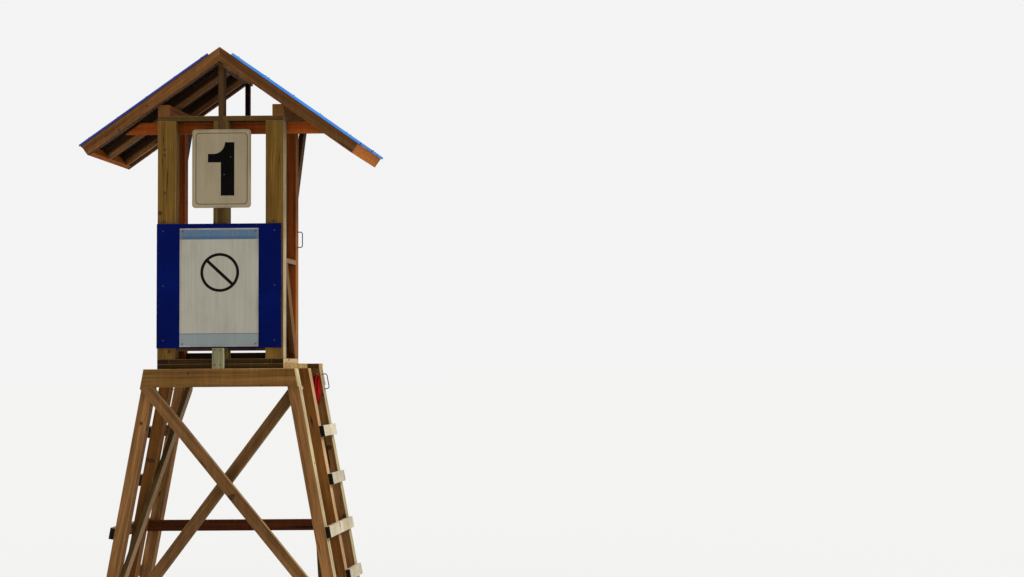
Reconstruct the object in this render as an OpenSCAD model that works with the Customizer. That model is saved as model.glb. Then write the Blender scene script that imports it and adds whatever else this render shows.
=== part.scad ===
// Lifeguard tower: a timber stand on six leaning legs that carries a small open cab
// with a gabled roof of ribbed metal sheets, a notice board and a number plate.
// X runs left to right, Y from the rear, where the boards hang, to the open front,
// and Z up from the ground. A depth is a distance in front of the rear beam's face.

/* [Lumber] */
// Thickness of the boards
board_t = 38; // [32:1:44]
// Width of a two-by-four, and side of a square timber
stud_w = 89; // [80:1:98]
// Width of a two-by-six
plank_w = 140; // [125:1:155]

/* [Base] */
// Height of the beams' tops over the ground
base_h = 2080; // [1900:10:2300]
// Width across the legs' outer faces at their tops
base_w = 1166; // [1120:2:1220]
// Sideways lean of the legs, in degrees
leg_lean = 10.4; // [8:0.1:12]
// Depth of the middle legs' rear faces
mid_leg_d = 460; // [400:5:520]
// Open joint between the deck's boards
deck_gap = 4.4; // [2:0.2:8]

/* [Rungs] */
// Drop from the legs' tops to the top of the highest rung
rung_drop = 460; // [400:5:520]
// Spacing of the rungs
rung_pitch = 380; // [340:5:400]
// Number of rungs on each side
rung_count = 4; // [3:1:4]
// Which rung, counted from the top, runs on to the rear leg
long_rung = 3; // [1:1:3]
// Reach of the rungs across the front legs
rung_lap = 47; // [30:1:75]

/* [Braces] */
// Drop from the legs' tops to the head of the outer rear brace
outer_head = 138; // [125:1:170]
// Height of the outer rear brace's foot on the leg's centre line
outer_foot = 157; // [120:1:300]
// Drop from the legs' tops to the head of the inner rear brace
inner_head = 150; // [140:1:180]
// Height of the inner rear brace's foot, under the ground before its level cut
inner_foot = -47; // [-60:1:80]
// Clearance of the braces' ends over the ground
foot_gap = 12; // [5:1:30]
// Height of the side braces' feet on the rear legs' centre lines
side_foot = 408; // [300:1:500]
// Drop from the legs' tops to the side braces' heads on the front legs
side_head = 169; // [150:1:240]
// Clearance of the side braces' heads under the joists
head_gap = 5; // [2:1:15]
// Height of the level front brace's underside
front_brace_h = 761; // [650:1:860]

/* [Cab] */
// Width across the posts' outer faces
cab_w = 978; // [940:2:1020]
// Depth of the cab from the rear posts' faces to the front posts' fronts
cab_d = 490; // [440:5:540]
// Height from the deck to the underside of the side plates
cab_h = 1920; // [1800:10:2050]
// Height of the armrests' undersides over the deck
arm_h = 782; // [720:1:850]
// Height of the seat over the deck
seat_h = 530; // [450:1:600]
// Rise from the sole plates to the cab braces' feet on the front posts
cab_brace_foot = 71; // [40:1:110]
// Drop from the side plates to the foot of the knee braces
knee_drop = 602; // [500:1:680]
// Slope of the knee braces from the level, in degrees
knee_slope = 63.4; // [60:0.1:66]

/* [Roof] */
// Pitch of the roof, in degrees
roof_pitch = 35.3; // [32:0.1:38]
// Width across the rafters' top tips
roof_w = 2148; // [2040:2:2200]
// Depth of the roof over its end rafters
roof_d = 953; // [920:1:1000]
// Spacing of the rafters
rafter_pitch = 406.4; // [390:0.1:412]
// Depth of the seat cut where a rafter crosses its side plate
seat_cut = 12.5; // [6:0.5:20]

/* [Roof sheets] */
// Length of a sheet down the slope
sheet_l = 1219; // [1150:1:1260]
// Thickness of a sheet
sheet_t = 0.7; // [0.5:0.1:1.5]
// Reach of a sheet past the eave
eave_lip = 12; // [10:1:40]
// Reach of a sheet past the end rafters
side_lip = 6; // [2:1:12]
// Spacing of the ribs
rib_pitch = 229; // [215:1:232]
// Height of a rib
rib_h = 19; // [12:1:24]
// Width of a rib at its foot
rib_foot = 40; // [30:1:50]
// Width of a rib at its crest
rib_crest = 16; // [8:1:24]

/* [Boards] */
// Height of the stub that carries the panel
stub_h = 160; // [120:1:200]
// Offset of the stub from the middle
stub_x = -9; // [-12:1:12]
// Width of the panel
panel_w = 962; // [900:2:980]
// Height of the panel
panel_h = 960; // [900:2:1020]
// Thickness of the panel
panel_t = 19; // [12:1:25]
// Offset of the panel from the middle
panel_x = -8; // [-12:1:12]
// Reach of the panel rails under the panel
rail_drop = 22; // [0:1:40]
// Width of the notice board
notice_w = 610; // [560:2:660]
// Height of the notice board
notice_h = 914; // [860:2:940]
// Offset of the notice board from the middle
notice_x = -5; // [-20:1:20]
// Rise of the notice board over the panel's lower edge
notice_rise = 10; // [2:1:20]
// Width of the number plate
number_w = 457; // [400:1:500]
// Height of the number plate
number_h = 610; // [560:2:640]
// Offset of the number plate from the middle
number_x = 8; // [-20:1:20]
// Gap between the panel and the number plate
number_gap = 123; // [100:1:150]
// Corner radius of the number plate
number_r = 26; // [10:1:40]
// Thickness of the notice board and the number plate
sign_t = 3; // [2:0.5:5]

/* [Handles] */
// Height of a grab handle
handle_h = 130; // [110:1:160]
// Reach of a grab handle off its post
handle_out = 46; // [40:1:60]
// Wire of a grab handle
handle_wire = 8; // [6:0.5:10]
// Radius of a grab handle's bends, at the wire's centre
handle_bend = 16; // [10:1:20]
// Height of the upper handles' middles over the deck
upper_handle_h = 988; // [920:1:1050]
// Drop from the legs' tops to the lower handles' middles
lower_handle_drop = 112; // [95:1:150]

/* [Pennant] */
// Radius of the furled cloth
pennant_r = 32; // [24:1:38]
// Length of the furled cloth under its peg
pennant_l = 250; // [200:1:300]
// Radius of the peg
peg_r = 7; // [5:0.5:9]
// Drop from the legs' tops to the peg
peg_drop = 50; // [45:1:80]
// Offset of the peg from the leg's centre line
peg_x = 20; // [0:1:24]
// Clearance of the furled cloth in front of the leg
pennant_gap = 1; // [0.5:0.5:3]

/* [Hidden] */
$fn = 64;

// Colours
timber = "#8a6a42";
timber_dark = "#5c3f24";
timber_red = "#7a3c20";
timber_grey = "#8f8a72";
deck_colour = "#b39a72";
sheet_colour = "#2f6fc0";
panel_colour = "#14245c";
notice_colour = "#c9c5ba";
plate_colour = "#b3a284";
steel_colour = "#4a4a4c";
cloth_colour = "#a3160f";

// Deck, from the rear beam to the front beam
deck_widths = [stud_w, plank_w, plank_w, stud_w, stud_w, plank_w, stud_w];
function deck_start(i) = i == 0 ? board_t : deck_start(i - 1) + deck_widths[i - 1] + deck_gap;
step_d = deck_start(len(deck_widths));
base_d = step_d + plank_w;
rear_y = (side_lip - base_d) / 2;
deck_z = base_h + board_t;
beam_z = base_h - plank_w;

// Legs
leg_t = stud_w / cos(leg_lean);
rear_leg_d = board_t;
front_leg_d = base_d - board_t - stud_w;
function leg_out(z) = base_w / 2 + (base_h - z) * tan(leg_lean);
function leg_in(z) = leg_out(z) - leg_t;
function leg_mid(z) = leg_out(z) - leg_t / 2;
function up_leg(z) = z / cos(leg_lean);

// Cab
post_out = cab_w / 2;
post_in = post_out - stud_w;
rear_post_in = post_out - plank_w;
rear_post_d = board_t;
rear_post_back = rear_post_d + stud_w;
front_post_end = rear_post_d + cab_d;
front_post_d = front_post_end - stud_w;
post_z = deck_z + board_t;
plate_z = deck_z + cab_h;
plate_top = plate_z + stud_w;
rear_plate_z = plate_z - board_t;
stud_out = board_t / 2 + board_t;
arm_z = deck_z + arm_h;
seat_z = deck_z + seat_h;
seat_room = front_post_end - rear_post_back;
seat_count = floor((seat_room + deck_gap) / (stud_w + deck_gap));

// Roof: the rafters' undersides pass the side plates' outer top corners one seat cut lower
rafter_v = stud_w / cos(roof_pitch);
roof_under = plate_top - seat_cut + post_out * tan(roof_pitch);
roof_top = roof_under + rafter_v;
function under(x) = roof_under - x * tan(roof_pitch);
function under_x(z) = (roof_under - z) / tan(roof_pitch);
slope_l = roof_w / 2 / cos(roof_pitch);
roof_end = roof_d - board_t;
rafter_count = floor((roof_d - 2 * board_t) / rafter_pitch);
front_tie_d = rafter_pitch * rafter_count;
ridge_top = under(board_t / 2) + rafter_v;
ridge_z = ridge_top - plank_w;

// Roof sheets
sheet_w = roof_d + 2 * side_lip;
rib_count = floor((sheet_w - rib_foot) / rib_pitch) + 1;
rib_start = -side_lip + (sheet_w - (rib_count - 1) * rib_pitch) / 2;

// Boards
panel_z = base_h + stub_h;
panel_top = panel_z + panel_h;

// Profile in X and Z, extruded from depth d0 to depth d1
module along_depth(d0, d1)
    translate([0, rear_y + d1, 0])
        rotate([90, 0, 0])
            linear_extrude(d1 - d0)
                children();

// Profile in depth and Z, extruded from x0 to x1
module across(x0, x1)
    translate([x0, rear_y, 0])
        rotate([90, 0, 90])
            linear_extrude(x1 - x0)
                children();

// Block between two corners, each given as [x, depth, z]
module block(a, b)
    translate([a[0], rear_y + a[1], a[2]])
        cube(b - a);

// The child on the right and its mirror image on the left
module both_sides() {
    children();
    mirror([1, 0, 0])
        children();
}

// Frame of a right leg's face that meets the ground at x: Z runs up the leg, X stands off it
module on_leg_face(x)
    translate([x, 0, 0])
        rotate([0, -leg_lean, 0])
            children();

// Frame of the right slope over the rafters: X runs down the slope, Z stands off it
module on_slope()
    translate([0, 0, roof_top])
        rotate([0, roof_pitch, 0])
            children();

// Long strip of a board whose centre line passes two points
module strip(p, q, w) {
    run = q - p;
    translate(p)
        rotate(atan2(run[1], run[0]))
            translate([-w * 3, -w / 2])
                square([norm(run) + w * 6, w]);
}

// Space between the legs' outer faces from height z0 to height z1
module between_legs(z0, z1)
    polygon([
        [-leg_out(z0), z0], [leg_out(z0), z0], [leg_out(z1), z1], [-leg_out(z1), z1]
    ]);

// Pair of legs with their rear faces at a depth
module leg_pair(d)
    color(timber)
        both_sides()
            along_depth(d, d + stud_w)
                polygon([
                    [leg_in(0), 0], [leg_out(0), 0],
                    [leg_out(base_h), base_h], [leg_in(base_h), base_h]
                ]);

module legs_rear() leg_pair(rear_leg_d);

module legs_mid() leg_pair(mid_leg_d);

module legs_front() leg_pair(front_leg_d);

// Beam across the legs' tops, its ends cut along the legs
module beam(d)
    color(timber)
        along_depth(d, d + board_t)
            between_legs(beam_z, base_h);

module rear_beam() beam(0);

module front_beam() beam(base_d - board_t);

// Rim joists against the legs, and one in the middle
module deck_joists() {
    rim = leg_in(base_h);
    color(timber_dark) {
        both_sides()
            block([rim - board_t, board_t, beam_z], [rim, base_d - board_t, base_h]);
        block([-board_t / 2, board_t, beam_z], [board_t / 2, base_d - board_t, base_h]);
    }
}

// Diagonal from the head on one leg's centre line to the foot on the other's
module rear_brace(side, head, foot, d)
    color(timber)
        along_depth(d, d + board_t)
            intersection() {
                strip([side * leg_mid(head), head], [-side * leg_mid(foot), foot], stud_w);
                between_legs(foot_gap, beam_z);
            }

module rear_brace_outer() rear_brace(-1, base_h - outer_head, outer_foot, 0);

module rear_brace_inner() rear_brace(1, base_h - inner_head, inner_foot, rear_leg_d + stud_w);

// Diagonals on the legs' inner faces, from the rear legs up to the front legs
module side_braces() {
    low = [rear_leg_d + stud_w / 2, up_leg(side_foot)];
    high = [front_leg_d + stud_w / 2, up_leg(base_h - side_head)];
    color(timber)
        both_sides()
            on_leg_face(leg_in(0))
                across(-board_t, 0)
                    intersection() {
                        strip(low, high, stud_w);
                        translate([rear_leg_d, 0])
                            square([
                                front_leg_d + stud_w - rear_leg_d, up_leg(beam_z - head_gap)
                            ]);
                    }
}

// Level board on the front legs' rear faces
module front_brace()
    color(timber_dark)
        along_depth(front_leg_d - board_t, front_leg_d)
            between_legs(front_brace_h, front_brace_h + stud_w);

// Rungs on the legs' outer faces, one of them running on to the rear leg
module rungs()
    color(timber_grey)
        both_sides()
            for (i = [1 : rung_count]) {
                top = up_leg(base_h - rung_drop - (i - 1) * rung_pitch);
                start = i == long_rung ? rear_leg_d : mid_leg_d;
                on_leg_face(leg_out(0))
                    block(
                        [0, start, top - stud_w],
                        [board_t, front_leg_d + rung_lap, top]
                    );
            }

module deck_boards()
    color(deck_colour)
        for (i = [0 : len(deck_widths) - 1])
            block(
                [-post_out, deck_start(i), base_h],
                [post_out, deck_start(i) + deck_widths[i], deck_z]
            );

module step_board()
    color(deck_colour)
        block([-base_w / 2, step_d, base_h], [base_w / 2, base_d, deck_z]);

module sole_plates_side()
    color(timber)
        both_sides()
            block([post_in, rear_post_d, deck_z], [post_out, front_post_end, post_z]);

module sole_plate_rear()
    color(timber_dark)
        block([-post_in, rear_post_d, deck_z], [post_in, rear_post_back, post_z]);

// Board on edge across the cab's open front, at the deck
module toe_rail()
    color(timber_dark)
        block(
            [-post_in, front_post_end - board_t, deck_z],
            [post_in, front_post_end, deck_z + stud_w]
        );

module posts_rear()
    color(timber)
        both_sides()
            block([rear_post_in, rear_post_d, post_z], [post_out, rear_post_back, rear_plate_z]);

module posts_front()
    color(timber_dark)
        both_sides()
            block([post_in, front_post_d, post_z], [post_out, front_post_end, plate_z]);

// Middle stud of the rear side, from the sole plate up to the ridge board
module king_stud()
    color(timber)
        block([-board_t / 2, rear_post_d, post_z], [board_t / 2, rear_post_back, ridge_z]);

// Studs on both sides of the king stud
module centre_studs()
    color(timber)
        both_sides()
            block([board_t / 2, rear_post_d, post_z], [stud_out, rear_post_back, rear_plate_z]);

// Flat plate on the rear posts, in two halves beside the king stud
module rear_top_plate()
    color(timber)
        both_sides()
            block([board_t / 2, rear_post_d, rear_plate_z], [post_out, rear_post_back, plate_z]);

// Board across the rear posts' backs, its ends cut along the rafters
module tie_beam() {
    low = rear_plate_z - stud_w;
    color(timber_red)
        along_depth(rear_post_back, rear_post_back + board_t)
            polygon([
                [-under_x(low), low], [under_x(low), low],
                [under_x(rear_plate_z), rear_plate_z], [-under_x(rear_plate_z), rear_plate_z]
            ]);
}

// Square timbers along the cab's sides, which carry the rafters
module side_plates()
    color(timber)
        both_sides()
            block([post_in, rear_post_d, plate_z], [post_out, roof_end, plate_top]);

module front_tie()
    color(timber_dark)
        block([-post_in, front_tie_d, plate_z], [post_in, front_tie_d + board_t, plate_top]);

module front_king_post()
    color(timber_dark)
        block(
            [-board_t / 2, front_tie_d, plate_top],
            [board_t / 2, front_tie_d + board_t, ridge_z]
        );

// Struts from the front posts up to the side plates
module knee_braces() {
    low = plate_z - knee_drop;
    far = front_post_end + knee_drop / tan(knee_slope);
    color(timber)
        both_sides()
            across(post_out - board_t, post_out)
                polygon([
                    [front_post_end, low], [far, plate_z],
                    [far - stud_w / sin(knee_slope), plate_z],
                    [front_post_end, low + stud_w / cos(knee_slope)]
                ]);
}

// Diagonals under the armrests, from the rear posts down to the front posts' feet
module cab_braces()
    color(timber_red)
        both_sides()
            across(post_out - board_t, post_out)
                intersection() {
                    strip(
                        [rear_post_back, arm_z], [front_post_d, post_z + cab_brace_foot], stud_w
                    );
                    translate([rear_post_back, post_z])
                        square([front_post_d - rear_post_back, arm_z - post_z]);
                }

module armrests()
    color(timber_grey)
        both_sides()
            block([post_in, rear_post_back, arm_z], [post_out, front_post_d, arm_z + board_t]);

// Boards on edge along the cab's sides, which carry the seat
module seat_rails()
    color(timber_dark)
        both_sides()
            block(
                [post_in - board_t, rear_post_back, seat_z - board_t - stud_w],
                [post_in, front_post_end, seat_z - board_t]
            );

module seat_boards()
    color(timber_dark)
        for (i = [0 : seat_count - 1]) {
            end = front_post_end - i * (stud_w + deck_gap);
            block([-post_in, end - stud_w, seat_z - board_t], [post_in, end, seat_z]);
        }

// Boards on edge behind the panel, between the posts and the studs
module panel_rails()
    color(timber_dark)
        both_sides()
            for (z = [panel_z - rail_drop, panel_top - stud_w])
                block(
                    [stud_out, rear_post_d, z],
                    [rear_post_in, rear_post_d + board_t, z + stud_w]
                );

module ridge_board()
    color(timber_dark)
        block([-board_t / 2, rear_post_d, ridge_z], [board_t / 2, roof_end, ridge_top]);

// Right rafter from a plumb cut at x to a square cut at a distance down the slope
module rafter_profile(x, slope) {
    tip = [slope * cos(roof_pitch), roof_top - slope * sin(roof_pitch)];
    polygon([
        [x, under(x)], [x, under(x) + rafter_v], tip,
        tip - stud_w * [sin(roof_pitch), cos(roof_pitch)]
    ]);
}

// End rafter that passes the side plates' ends, and meets its pair in a plumb cut
module end_rafter(d)
    color(timber)
        along_depth(d, d + board_t)
            rafter_profile(0, slope_l);

module rear_rafter_right() end_rafter(0);

module rear_rafter_left() mirror([1, 0, 0]) end_rafter(0);

module front_rafter_right() end_rafter(roof_end);

module front_rafter_left() mirror([1, 0, 0]) end_rafter(roof_end);

// Inner rafters, from the ridge board over the seat cuts to the fascias
module common_rafters()
    color(timber_dark)
        both_sides()
            for (i = [1 : rafter_count])
                along_depth(i * rafter_pitch, i * rafter_pitch + board_t)
                    difference() {
                        rafter_profile(board_t / 2, slope_l - board_t);
                        translate([post_in, plate_z])
                            square([stud_w, stud_w]);
                    }

// Boards across the inner rafters' ends, between the end rafters
module fascias()
    color(timber_dark)
        both_sides()
            on_slope()
                block([slope_l - board_t, board_t, -stud_w], [slope_l, roof_end, 0]);

// Lower line of the ribbed section, from the rear edge to the front edge
function rib_line() = concat(
    [[-side_lip, 0]],
    [
        for (i = [0 : rib_count - 1], p = [
            [-rib_foot / 2, 0], [-rib_crest / 2, rib_h - sheet_t],
            [rib_crest / 2, rib_h - sheet_t], [rib_foot / 2, 0]
        ])
            [rib_start + i * rib_pitch + p[0], p[1]]
    ],
    [[roof_d + side_lip, 0]]
);

// Ribbed sheet on the right slope
module roof_sheet() {
    line = rib_line();
    last = len(line) - 1;
    color(sheet_colour)
        on_slope()
            across(slope_l + eave_lip - sheet_l, slope_l + eave_lip)
                polygon(concat(line, [for (i = [0 : last]) line[last - i] + [0, sheet_t]]));
}

module roof_sheet_right() roof_sheet();

module roof_sheet_left() mirror([1, 0, 0]) roof_sheet();

module back_panel()
    color(panel_colour)
        block(
            [panel_x - panel_w / 2, board_t - panel_t, panel_z],
            [panel_x + panel_w / 2, board_t, panel_top]
        );

// Short flat board on the rear beam, under the panel
module panel_stub()
    color(timber_grey)
        block([stub_x - stud_w / 2, 0, base_h], [stub_x + stud_w / 2, board_t, panel_z]);

module notice_board()
    color(notice_colour)
        block(
            [notice_x - notice_w / 2, board_t - panel_t - sign_t, panel_z + notice_rise],
            [notice_x + notice_w / 2, board_t - panel_t, panel_z + notice_rise + notice_h]
        );

// Plate with rounded corners on the centre studs
module number_plate() {
    x = number_w / 2 - number_r;
    z = number_h / 2 - number_r;
    color(plate_colour)
        along_depth(board_t - sign_t, board_t)
            translate([number_x, panel_top + number_gap + number_h / 2]) {
                square([number_w, 2 * z], center = true);
                square([2 * x, number_h], center = true);
                for (sx = [-1, 1], sz = [-1, 1])
                    translate([sx * x, sz * z])
                        circle(number_r);
            }
}

// Bent wire handle that stands off a face, with its middle at the origin
module grab_handle() {
    arm = handle_out - handle_wire / 2 - handle_bend;
    grip = handle_h / 2 - handle_wire / 2 - handle_bend;
    for (s = [0, 1])
        mirror([0, 0, s]) {
            translate([0, 0, grip + handle_bend])
                rotate([0, 90, 0])
                    cylinder(h = arm, d = handle_wire);
            translate([arm, 0, grip])
                rotate([90, 0, 0])
                    rotate_extrude(angle = 90)
                        translate([handle_bend, 0])
                            circle(d = handle_wire);
        }
    translate([arm + handle_bend, 0, -grip])
        cylinder(h = 2 * grip, d = handle_wire);
}

// Handles on the front posts and on the front legs
module grab_handles()
    color(steel_colour)
        both_sides() {
            translate([
                post_out, rear_y + front_post_end - stud_w / 2, deck_z + upper_handle_h
            ])
                grab_handle();
            on_leg_face(leg_out(0))
                translate([
                    0, rear_y + front_leg_d + stud_w / 2, up_leg(base_h - lower_handle_drop)
                ])
                    grab_handle();
        }

// Places the child at the peg's height, in the middle of the furled cloth
module at_peg()
    translate([
        leg_mid(base_h - peg_drop) + peg_x, rear_y + front_leg_d - pennant_r - pennant_gap,
        base_h - peg_drop
    ])
        children();

module peg()
    rotate([90, 0, 0])
        translate([0, 0, -pennant_r - pennant_gap])
            cylinder(h = 2 * pennant_r, r = peg_r);

// Peg on the rear face of the front right leg
module pennant_peg()
    color(timber_dark)
        at_peg()
            peg();

// Furled cloth that hangs from the peg by its rolled end
module pennant()
    color(cloth_colour)
        at_peg()
            difference() {
                rotate_extrude()
                    polygon([
                        [0, -pennant_l], [pennant_r * 0.5, -pennant_l],
                        [pennant_r * 0.66, -pennant_l * 0.93], [pennant_r * 0.9, -pennant_l * 0.75],
                        [pennant_r, -pennant_l * 0.6], [pennant_r, -pennant_l * 0.16],
                        [peg_r * 2, -peg_r * 1.5],
                        [peg_r * 2, peg_r * 1.2], [peg_r, peg_r * 2], [0, peg_r * 2]
                    ]);
                peg();
            }

legs_rear();
legs_mid();
legs_front();
rear_beam();
front_beam();
deck_joists();
rear_brace_outer();
rear_brace_inner();
side_braces();
front_brace();
rungs();
deck_boards();
step_board();
sole_plates_side();
sole_plate_rear();
toe_rail();
posts_rear();
posts_front();
king_stud();
centre_studs();
rear_top_plate();
tie_beam();
side_plates();
front_tie();
front_king_post();
knee_braces();
cab_braces();
armrests();
seat_rails();
seat_boards();
panel_rails();
ridge_board();
rear_rafter_left();
rear_rafter_right();
common_rafters();
front_rafter_left();
front_rafter_right();
fascias();
roof_sheet_left();
roof_sheet_right();
back_panel();
panel_stub();
notice_board();
number_plate();
grab_handles();
pennant_peg();
pennant();
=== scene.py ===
# Lifeguard tower: finishes, fasteners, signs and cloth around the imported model.
from math import atan2, cos, pi, radians, sin, tan

import bmesh
import bpy
from mathutils import Matrix, Vector


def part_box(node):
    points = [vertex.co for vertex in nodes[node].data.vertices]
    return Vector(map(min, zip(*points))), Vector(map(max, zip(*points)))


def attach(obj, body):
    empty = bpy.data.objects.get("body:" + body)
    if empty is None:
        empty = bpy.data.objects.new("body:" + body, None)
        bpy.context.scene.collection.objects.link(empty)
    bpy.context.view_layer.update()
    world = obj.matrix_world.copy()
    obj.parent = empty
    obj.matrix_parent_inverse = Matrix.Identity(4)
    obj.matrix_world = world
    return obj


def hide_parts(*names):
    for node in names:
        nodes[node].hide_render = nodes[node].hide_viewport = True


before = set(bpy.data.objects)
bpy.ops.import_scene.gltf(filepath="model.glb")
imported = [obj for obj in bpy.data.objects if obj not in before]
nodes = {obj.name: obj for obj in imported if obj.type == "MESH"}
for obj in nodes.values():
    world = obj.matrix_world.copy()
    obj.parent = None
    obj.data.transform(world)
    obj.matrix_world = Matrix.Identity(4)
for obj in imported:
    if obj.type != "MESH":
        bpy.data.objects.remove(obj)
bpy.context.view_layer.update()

MM = 0.001


# Legs
# Three pairs of square softwood timbers, pressure treated, sawn to length and left to
# weather. Sun and rain have bleached the sides that face outwards and browned the rest.

ground_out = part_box("legs_rear")[1].x
base_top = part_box("legs_rear")[1].z
base_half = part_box("step_board")[1].x
leg_lean = atan2(ground_out - base_half, base_top)


def tone(code):
    """Linear colour of a colour written as it looks."""
    parts = [int(code[i:i + 2], 16) / 255 for i in (1, 3, 5)]
    return [c / 12.92 if c <= 0.04045 else ((c + 0.055) / 1.055) ** 2.4 for c in parts] + [1]


class Recipe:
    """Node tree of one finish. Most calls add a node and give back its output."""

    def __init__(self, tree):
        self.tree = tree

    def fill(self, node, inputs):
        """Gives a node's inputs a plain value each, or the result of another node."""
        for key, value in inputs.items():
            if isinstance(value, bpy.types.NodeSocket):
                self.tree.links.new(value, node.inputs[key])
            else:
                node.inputs[key].default_value = value

    def add(self, kind, inputs, **settings):
        made = self.tree.nodes.new("ShaderNode" + kind)
        for name, value in settings.items():
            setattr(made, name, value)
        self.fill(made, inputs)
        return made

    def calc(self, operation, *values):
        return self.add("Math", dict(enumerate(values)), operation=operation).outputs[0]

    def vector(self, operation, *values):
        return self.add("VectorMath", dict(enumerate(values)), operation=operation).outputs[0]

    def step(self, value, low, high, start=0.0, end=1.0):
        """Goes smoothly from start to end while the value goes from low to high."""
        inputs = {0: value, 1: low, 2: high, 3: start, 4: end}
        return self.add("MapRange", inputs, interpolation_type="SMOOTHSTEP").outputs[0]

    def mix(self, share, a, b, how="MIX"):
        """Colour b over colour a. The node names its inputs twice, so they go by number."""
        inputs = {0: share, 6: a, 7: b}
        made = self.add("Mix", inputs, data_type="RGBA", blend_type=how, clamp_result=True)
        return made.outputs[2]

    def parts(self, vector):
        return self.add("SeparateXYZ", {0: vector}).outputs

    def join(self, x, y, z):
        return self.add("CombineXYZ", {0: x, 1: y, 2: z}).outputs[0]

    def turned(self, vector, turn, kind):
        inputs = {"Vector": vector, "Rotation": turn}
        return self.add("Mapping", inputs, vector_type=kind).outputs[0]

    def noise(self, where, per_metre, detail=2.0, rough=0.5):
        """Noise with so many patches to a metre along X, Y and Z."""
        placed = self.vector("MULTIPLY", where, per_metre)
        inputs = {"Vector": placed, "Scale": 1.0, "Detail": detail, "Roughness": rough}
        return self.add("TexNoise", inputs).outputs[0]

    def bump(self, height):
        inputs = {"Height": height, "Distance": 1.0, "Strength": 1.0}
        return self.add("Bump", inputs).outputs[0]

    def stain(self, share, colour):
        """Mixes a colour by a share into the finish that the tree already gives."""
        base = self.tree.nodes["Principled BSDF"].inputs["Base Color"]
        self.tree.links.new(self.mix(share, base.links[0].from_socket, tone(colour)), base)

    def finish(self, colour, rough, gloss, others=()):
        """Fills the shader's inputs. The others are given under their own names."""
        inputs = {"Base Color": colour, "Roughness": rough, "Specular IOR Level": gloss}
        inputs.update(others)
        self.fill(self.tree.nodes["Principled BSDF"], inputs)


def new_finish(name):
    """A new material, and the recipe that its finish is written in."""
    material = bpy.data.materials.new(name)
    material.use_nodes = True
    return material, Recipe(material.node_tree)


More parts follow.
